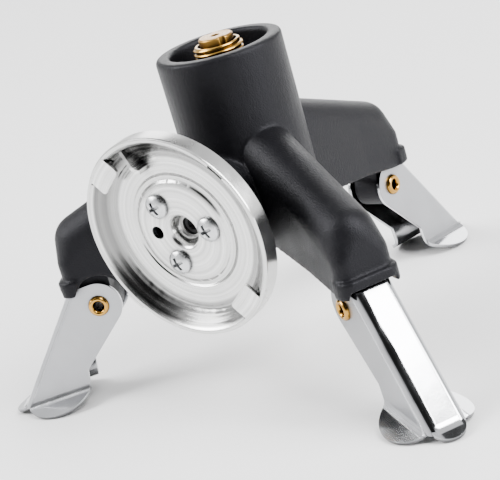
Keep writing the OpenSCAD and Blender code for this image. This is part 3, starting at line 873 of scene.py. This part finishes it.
@dataclass
class ThreadedStub:
    """The brass stub with its rolled burner thread and hexagon flange.

    Radii end in _r, and heights over the rim of the cup in _z. The mouth, the retaining ring, the gasket
    and the spring each have a bore that ends at their height.

    Attributes:
        mouth_edge: the rounding of the mouth's edge.
        lead_in: the rounding of the top's outer edge.
        turn_steps: pieces round the stub.
        thread_gap: how far below the top the thread ends.
        thread_steps: pieces in a turn of the thread.
        run_out: the part of a turn over which each end of the thread fades into the core.
        sunk: how deep the foot of the ridge lies in the core.
        proud: how far the foot of its flank lies outside the core.
        foot_share: half the ridge's width at its foot, as a share of the pitch.
        flank_share: the same at the foot of its flank.
        crest_share: the same at its crest.
    """

    crest_r: float = 5.55
    root_r: float = 4.98
    top_z: float = 0.4
    mouth_r: float = 4.32
    mouth_z: float = -0.8
    retainer_r: float = 3.25
    retainer_z: float = -4.2
    gasket_r: float = 3.2
    gasket_z: float = -5.4
    spring_r: float = 2.5
    spring_z: float = -13.4
    gas_r: float = 1.1
    shank_r: float = 4.0
    shank_z: float = -24.0
    collar_r: float = 5.6
    collar_z: float = -10.2
    floor_z: float = -12.0
    mouth_edge: float = 0.12
    lead_in: float = 0.25
    turn_steps: int = 96

    hexagon_r: float = 7.0
    hexagon_inner_r: float = 5.2
    hexagon_z: float = -10.22
    hexagon_sides: int = 6

    pitch: float = 0.907
    thread_z: float = -9.9
    thread_gap: float = 0.25
    thread_steps: int = 48
    run_out: float = 0.6
    sunk: float = 0.12
    proud: float = 0.02
    foot_share: float = 0.46
    flank_share: float = 0.42
    crest_share: float = 0.1

    def build(self, brass: bpy.types.Material) -> None:
        """Builds the stub and its thread.

        Args:
            brass: the finish of the stub.
        """
        core = [
            (self.mouth_r, self.top_z), (self.root_r, self.top_z),
            (self.root_r, self.collar_z), (self.collar_r, self.collar_z),
            (self.collar_r, self.floor_z), (self.shank_r, self.floor_z),
            (self.shank_r, self.shank_z), (self.gas_r, self.shank_z),
            (self.gas_r, self.spring_z), (self.spring_r, self.spring_z),
            (self.spring_r, self.gasket_z), (self.gasket_r, self.gasket_z),
            (self.gasket_r, self.retainer_z), (self.retainer_r, self.retainer_z),
            (self.retainer_r, self.mouth_z), (self.mouth_r, self.mouth_z)]
        bm = turned(round_corners(core, {0: self.mouth_edge, 1: self.lead_in}), self.turn_steps)
        stub = piece("stub_core", bm, brass, "body")
        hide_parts("outlet_stub")
        hexagon = [(self.hexagon_inner_r, self.floor_z), (self.hexagon_r, self.floor_z),
                   (self.hexagon_r, self.hexagon_z), (self.hexagon_inner_r, self.hexagon_z)]
        piece("stub_hexagon", turned(hexagon, self.hexagon_sides), brass, "body")
        piece("stub_thread", self.thread(), brass, "body", sharp=ROUND_SHARP_ANGLE)

    def thread(self) -> bmesh.types.BMesh:
        """Winds the thread's ridge, which runs out into the core at both ends.

        Returns:
            The ridge's mesh in metres.
        """
        bm = bmesh.new()
        turns = (self.top_z - self.thread_gap - self.thread_z) / self.pitch
        count = int(turns * self.thread_steps)
        run_out = self.run_out * self.thread_steps
        foot_r, flank_r = self.root_r - self.sunk, self.root_r + self.proud
        foot_h, flank_h, crest_h = (share * self.pitch for share in
                                    (self.foot_share, self.flank_share, self.crest_share))
        rings = []
        for i in range(count + 1):
            around = 2 * math.pi * i / self.thread_steps
            level = self.thread_z + self.pitch * i / self.thread_steps
            fade = min(1.0, i / run_out, (count - i) / run_out)
            crest_r = self.root_r + (self.crest_r - self.root_r) * fade
            outline = ((foot_r, -foot_h), (flank_r, -flank_h), (crest_r, -crest_h),
                       (crest_r, crest_h), (flank_r, flank_h), (foot_r, foot_h))
            rings.append([
                bm.verts.new((r * MM * math.cos(around), r * MM * math.sin(around), (level + h) * MM))
                for r, h in outline])
        for low, high in zip(rings, rings[1:]):
            for j in range(len(low)):
                k = (j + 1) % len(low)
                bm.faces.new((low[j], low[k], high[k], high[j]))
        bm.faces.new(rings[0])
        bm.faces.new(list(reversed(rings[-1])))
        bmesh.ops.recalc_face_normals(bm, faces=bm.faces)
        return bm


@dataclass
class CoilSpring:
    """The valve's return spring at one length; the real one shortens as the pin is pushed in.

    Attributes:
        seat: the height of its fixed end over the rim of the cup; not used.
        length: its length at rest; not used.
        travel: how far the pin shortens it; not used.
    """

    seat: float = -13.4
    length: float = 7.0
    travel: float = 1.5

    def build(self, steel: bpy.types.Material) -> None:
        """Builds the spring in place of its CAD node.

        Args:
            steel: the finish of the wire.
        """
        obj = piece("coil_spring", node_copy("valve_spring"), steel, "body",
                    sharp=ROUND_SHARP_ANGLE)
        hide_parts("valve_spring")
        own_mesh(obj)


@dataclass
class Eyelet:
    """A tubular brass rivet whose two ends are rolled over.

    Attributes:
        index: the number of its leg.
        turn: where that leg points.
        shank_r: the radius of its shank.
        hole_r: the radius of its hole.
        bore_r: the radius up to which the hole is painted dark as shade.
        head_r: the radius of a rolled end.
        side: half the width that it holds together.
        head_h: how far a rolled end stands proud of that.
        reach: how far it lies from the stub's axis.
        drop: how far it lies below the rim of the cup.
        roll_steps: pieces over a rolled end.
        turn_steps: pieces round it.
        sharp: the angle from which an edge stays sharp.
    """

    index: int
    turn: float
    shank_r: float = 1.8
    hole_r: float = 1.1
    bore_r: float = 1.12
    head_r: float = 2.4
    side: float = 4.6
    head_h: float = 0.9
    reach: float = 41.7
    drop: float = 50.4
    roll_steps: int = 12
    turn_steps: int = 64
    sharp: float = 50.0

    def build(self) -> None:
        """Builds the rivet in place of its CAD node."""
        middle, half = (self.head_r + self.hole_r) / 2, (self.head_r - self.hole_r) / 2
        angles = [math.pi * i / self.roll_steps for i in range(self.roll_steps + 1)]
        roll = [(middle + half * math.cos(a), self.side + self.head_h * math.sin(a)) for a in angles]
        path = [(self.shank_r, -self.side), (self.shank_r, self.side), *roll,
                *((r, -h) for r, h in reversed(roll))]
        place = (Matrix.Rotation(math.radians(self.turn), 4, "Z")
                 @ Matrix.Translation((self.reach * MM, 0, -self.drop * MM))
                 @ Matrix.Rotation(math.radians(90), 4, "X"))
        name = "rivet_%d" % self.index
        obj = piece("eyelet_%d" % self.index, turned(path, self.turn_steps), self.finish().build(),
                    "leg_%d" % self.index, place, self.sharp)
        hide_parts(name)

    def finish(self) -> BareMetal:
        """Centres the brass's rings on the rivet.

        Returns:
            The finish.
        """
        turn = math.radians(self.turn)
        # The brass gets painted shade at its corners and inside its hole.
        return BareMetal(
            "rivet_brass_%d" % self.index, colour=(0.62, 0.35, 0.075), shade=(0.42, 0.22, 0.045),
            roughness=0.12, spread=0.10, pattern=Pattern.SPUN,
            centre=(self.reach * math.cos(turn), self.reach * math.sin(turn), -self.drop),
            turn=(math.radians(-90), -turn, 0.0), marks=0.2, crevice=0.7, bore=self.bore_r)


@dataclass
class MouldedBody:
    """The black moulding, with the small radii that a mould leaves on every edge.

    Attributes:
        voxel: the size of a cell of the even mesh that it is rebuilt from.
        rounds: how often its edges are smoothed.
        strength: how much each round smooths.
        keep: the share of its faces that is kept.
    """

    voxel: float = 0.36
    rounds: int = 5
    strength: float = 0.5
    keep: float = 0.45

    def build(self, nylon: bpy.types.Material) -> None:
        """Builds the moulding in place of its CAD node.

        Args:
            nylon: the finish of the moulding.
        """
        obj = piece("moulding", node_copy("body_shell"), nylon, "body")
        remesh = obj.modifiers.new("voxels", "REMESH")
        remesh.mode = "VOXEL"
        remesh.voxel_size = self.voxel * MM
        remesh.use_smooth_shade = True
        smooth = obj.modifiers.new("radii", "SMOOTH")
        smooth.factor = self.strength
        smooth.iterations = self.rounds
        thin = obj.modifiers.new("thin", "DECIMATE")
        thin.ratio = self.keep
        settle(obj)
        LOG.info("moulding: %d polygons", len(obj.data.polygons))
        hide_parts("body_shell")


# ---- studio -------------------------------------------------------------------------------------


@dataclass(frozen=True)
class DarkPatch:
    """A dark part of the surround.

    Attributes:
        direction: where it lies, seen from the stand.
        core: the angle from its middle up to which it is darkest.
        edge: the angle from its middle at which it ends.
        level: how much light is left in its core.
    """

    direction: Triple
    core: float
    edge: float
    level: float


@dataclass(frozen=True)
class SoftBox:
    """A square lamp that is aimed at the stand.

    Attributes:
        name: the lamp's name.
        spot: where it hangs, in metres.
        size: the length of its side in metres.
        watts: its power.
    """

    name: str
    spot: Triple
    size: float
    watts: float

    def build(self, aim: Vector) -> None:
        """Hangs the lamp.

        Args:
            aim: the point that it is turned to, in metres.
        """
        data = bpy.data.lights.new(self.name, "AREA")
        data.shape = "SQUARE"
        data.size = self.size
        data.energy = self.watts
        obj = bpy.data.objects.new(self.name, data)
        obj.location = self.spot
        obj.rotation_euler = (aim - Vector(self.spot)).to_track_quat("-Z", "Y").to_euler()
        bpy.context.scene.collection.objects.link(obj)


@dataclass
class Studio:
    """The floor, the light and the camera.

    Attributes:
        floor_z: the height of the floor over the rim of the cup.
        floor_r: the floor's radius.
        floor_sides: pieces round the floor.
        lens: the camera's focal length.
        sensor: the width of its sensor.
        near: how close to it things start to be seen.
        target: the point that the camera's place is counted from.
        camera_turn: how far that place is turned about the Z axis.
        tilt: how far the camera looks down.
        roll: how far it is turned about its own axis.
        slide: how far it is moved to its own left and down.
        distance: how far it stands back.
        surround_level: how bright the surround is.
        surround: heights in the surround, from 0 at the horizon to 1 overhead, and the light there.
        surround_tint: how much stronger its blue is there.
        overhead: its colour overhead.
        dark_patches: its dark parts.
        lamp_target: the point that the lamps are turned to.
        lamps: the lamps.
    """

    floor_z: float = -73.15
    floor_r: float = 6000.0
    floor_sides: int = 96
    lens: float = 125.95
    sensor: float = 36.0
    near: float = 10.0
    target: Triple = (0.0, 0.0, -35.0)
    camera_turn: float = 41.36
    tilt: float = 18.29
    roll: float = 16.43
    slide: Point = (2.42, 9.99)
    distance: float = 383.58
    surround_level: float = 1.5
    surround: tuple[Point, ...] = ((0.15, 1.0), (0.4, 0.75), (0.65, 0.6))
    surround_tint: float = 1.01
    overhead: Colour = (0.8, 0.8, 0.81)
    dark_patches: tuple[DarkPatch, ...] = (
        DarkPatch((0.42, -0.68, 0.6), core=22.0, edge=44.0, level=0.02),
        DarkPatch((-0.30, 0.50, 0.82), core=12.0, edge=21.0, level=0.05),
    )
    lamp_target: Triple = (0.0, 0.0, -30.0)
    lamps: tuple[SoftBox, ...] = (
        SoftBox("key_box", (-0.8, -0.58, 0.75), size=0.7, watts=26.0),
        SoftBox("fill_box", (0.95, 0.2, 0.35), size=0.5, watts=16.0),
        SoftBox("top_box", (0.78, -0.02, 0.92), size=0.5, watts=18.0),
        SoftBox("back_box", (-0.55, 1.0, 0.5), size=0.8, watts=9.0),
    )

    def build(self) -> None:
        """Builds the whole studio."""
        self.add_floor()
        self.add_camera()
        self.add_world()
        for lamp in self.lamps:
            lamp.build(Vector(self.lamp_target) * MM)

    def add_floor(self) -> None:
        """Adds the pale floor."""
        bm = bmesh.new()
        bmesh.ops.create_circle(bm, cap_ends=True, segments=self.floor_sides, radius=self.floor_r * MM)
        bmesh.ops.translate(bm, verts=bm.verts, vec=(0, 0, self.floor_z * MM))
        mesh = bpy.data.meshes.new("floor")
        bm.to_mesh(mesh)
        bm.free()
        obj = bpy.data.objects.new("floor", mesh)
        mesh.materials.append(StudioFloor().build())
        bpy.context.scene.collection.objects.link(obj)

    def add_camera(self) -> None:
        """Adds the camera, rolled about its own axis and slid sideways from its target."""
        tilt, roll = math.radians(self.tilt), math.radians(self.roll)
        right = Vector((1, 0, 0))
        up = Vector((0, math.sin(tilt), math.cos(tilt)))
        back = Vector((0, -math.cos(tilt), math.sin(tilt)))
        across = right * math.cos(roll) - up * math.sin(roll)
        rise = right * math.sin(roll) + up * math.cos(roll)
        spot = Vector(self.target) + back * self.distance - across * self.slide[0] - rise * self.slide[1]
        turn = Matrix.Rotation(math.radians(self.camera_turn), 4, "Z")
        basis = Matrix((across, rise, back)).transposed().to_4x4()
        data = bpy.data.cameras.new("camera")
        data.lens = self.lens
        data.sensor_width = self.sensor
        data.sensor_fit = "HORIZONTAL"
        data.clip_start = self.near * MM
        obj = bpy.data.objects.new("camera", data)
        obj.matrix_world = turn @ Matrix.Translation(spot * MM) @ basis
        bpy.context.scene.collection.objects.link(obj)
        bpy.context.scene.camera = obj

    def add_world(self) -> None:
        """Adds the bright surround with its dark parts."""
        world = bpy.data.worlds.new("studio")
        bpy.context.scene.world = world
        world.use_nodes = True
        tree = Tree(world.node_tree)
        direction = tree.coords.outputs["Generated"]
        height = tree.add("SeparateXYZ", direction).outputs["Z"]
        sides = [(place, (level, level, level * self.surround_tint)) for place, level in self.surround]
        light = tree.stops(height, [(0.0, WHITE), *sides, (1.0, self.overhead)])
        for patch in self.dark_patches:
            towards = tree.add("VectorMath", direction, Vector(patch.direction).normalized(),
                               operation="DOT_PRODUCT").outputs["Value"]
            shade = tree.ramp(towards, 1.0, patch.level, math.cos(math.radians(patch.edge)),
                              math.cos(math.radians(patch.core)), smooth=True)
            light = tree.add("VectorMath", light, operation="SCALE", Scale=shade).outputs[0]
        background = world.node_tree.nodes["Background"]
        tree.feed(background.inputs["Color"], light)
        tree.feed(background.inputs["Strength"], self.surround_level)


def dress(nodes: Iterable[str], material: bpy.types.Material) -> None:
    """Gives CAD nodes a finish.

    Args:
        nodes: the nodes' names.
        material: the finish.
    """
    for name in nodes:
        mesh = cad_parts[name].data
        mesh.materials.clear()
        mesh.materials.append(material)
        LOG.info("%s: dressed with %s", name, material.name)


def main() -> None:
    """Builds the stand's looks and the studio."""
    logging.basicConfig(level=logging.INFO, format="%(message)s")
    nylon = MouldedNylon().build()
    # Each crevice paints shade into corners and hollows.
    brass = BareMetal(
        "turned_brass", colour=(0.70, 0.42, 0.10), shade=(0.46, 0.25, 0.055), roughness=0.12, spread=0.12,
        pattern=Pattern.SPUN, crevice=0.88).build()
    crown = BareMetal(
        "crown_brass", colour=(0.46, 0.26, 0.06), shade=(0.26, 0.13, 0.03), roughness=0.20, spread=0.16,
        pattern=Pattern.SPUN, marks=0.6, crevice=0.85).build()
    # The plate's bands paint shade in rings round its axis.
    spun = BareMetal(
        "spun_plate", colour=(0.88, 0.88, 0.87), shade=(0.76, 0.76, 0.75), roughness=0.16, spread=0.12,
        pattern=Pattern.SPUN, centre=PLATE_CENTRE, turn=(math.radians(-90 - PLATE_SLOPE), 0.0, 0.0),
        marks=0.9, anisotropy=0.5, crevice=0.82, reach=2.6,
        bands=((12.0, 1.0), (12.3, 0.8), (12.9, 1.0), (16.6, 1.0), (17.2, 0.56), (18.6, 0.50),
               (19.6, 0.28), (21.2, 0.30), (21.9, 1.0), (25.0, 1.0)),
        front=0.45, slopes=(Slope(9.8, 12.3, -0.45), Slope(12.7, 13.5, 0.65)),
        ribs=Ribs(inner=17.4, outer=22.0, pitch=1.1, depth=0.03)).build()
    zinc = BareMetal(
        "zinc_screw", colour=(0.66, 0.67, 0.68), shade=(0.50, 0.51, 0.52), roughness=0.20, spread=0.12,
        crevice=0.5).build()
    rubber = SealRubber().build()
    MouldedBody().build(nylon)
    ThreadedStub().build(brass)
    dress(["valve_pin", "gas_block", "inlet_nozzle", "inlet_filter"], brass)
    for index, turn in enumerate(LEG_TURNS, 1):
        Eyelet(index, turn).build()
        RoundedNode("leg_%d" % index, "leg_%d" % index, "leg_steel", width=0.16).build(
            LegSheet(index, turn).build())
    RoundedNode("valve_retainer", "body", "crown_brass", width=0.12).build(crown)
    RoundedNode("coupling_plate", "body", "plate_steel", width=0.14, angle=36.0).build(spun)
    RoundedNode("plate_screws", "body", "screw_zinc", width=0.12).build(zinc)
    CoilSpring().build(zinc)
    dress(["valve_gasket", "stub_seal", "nozzle_seal", "inlet_seal"], rubber)
    Studio().build()


if __name__ == "__main__":
    main()
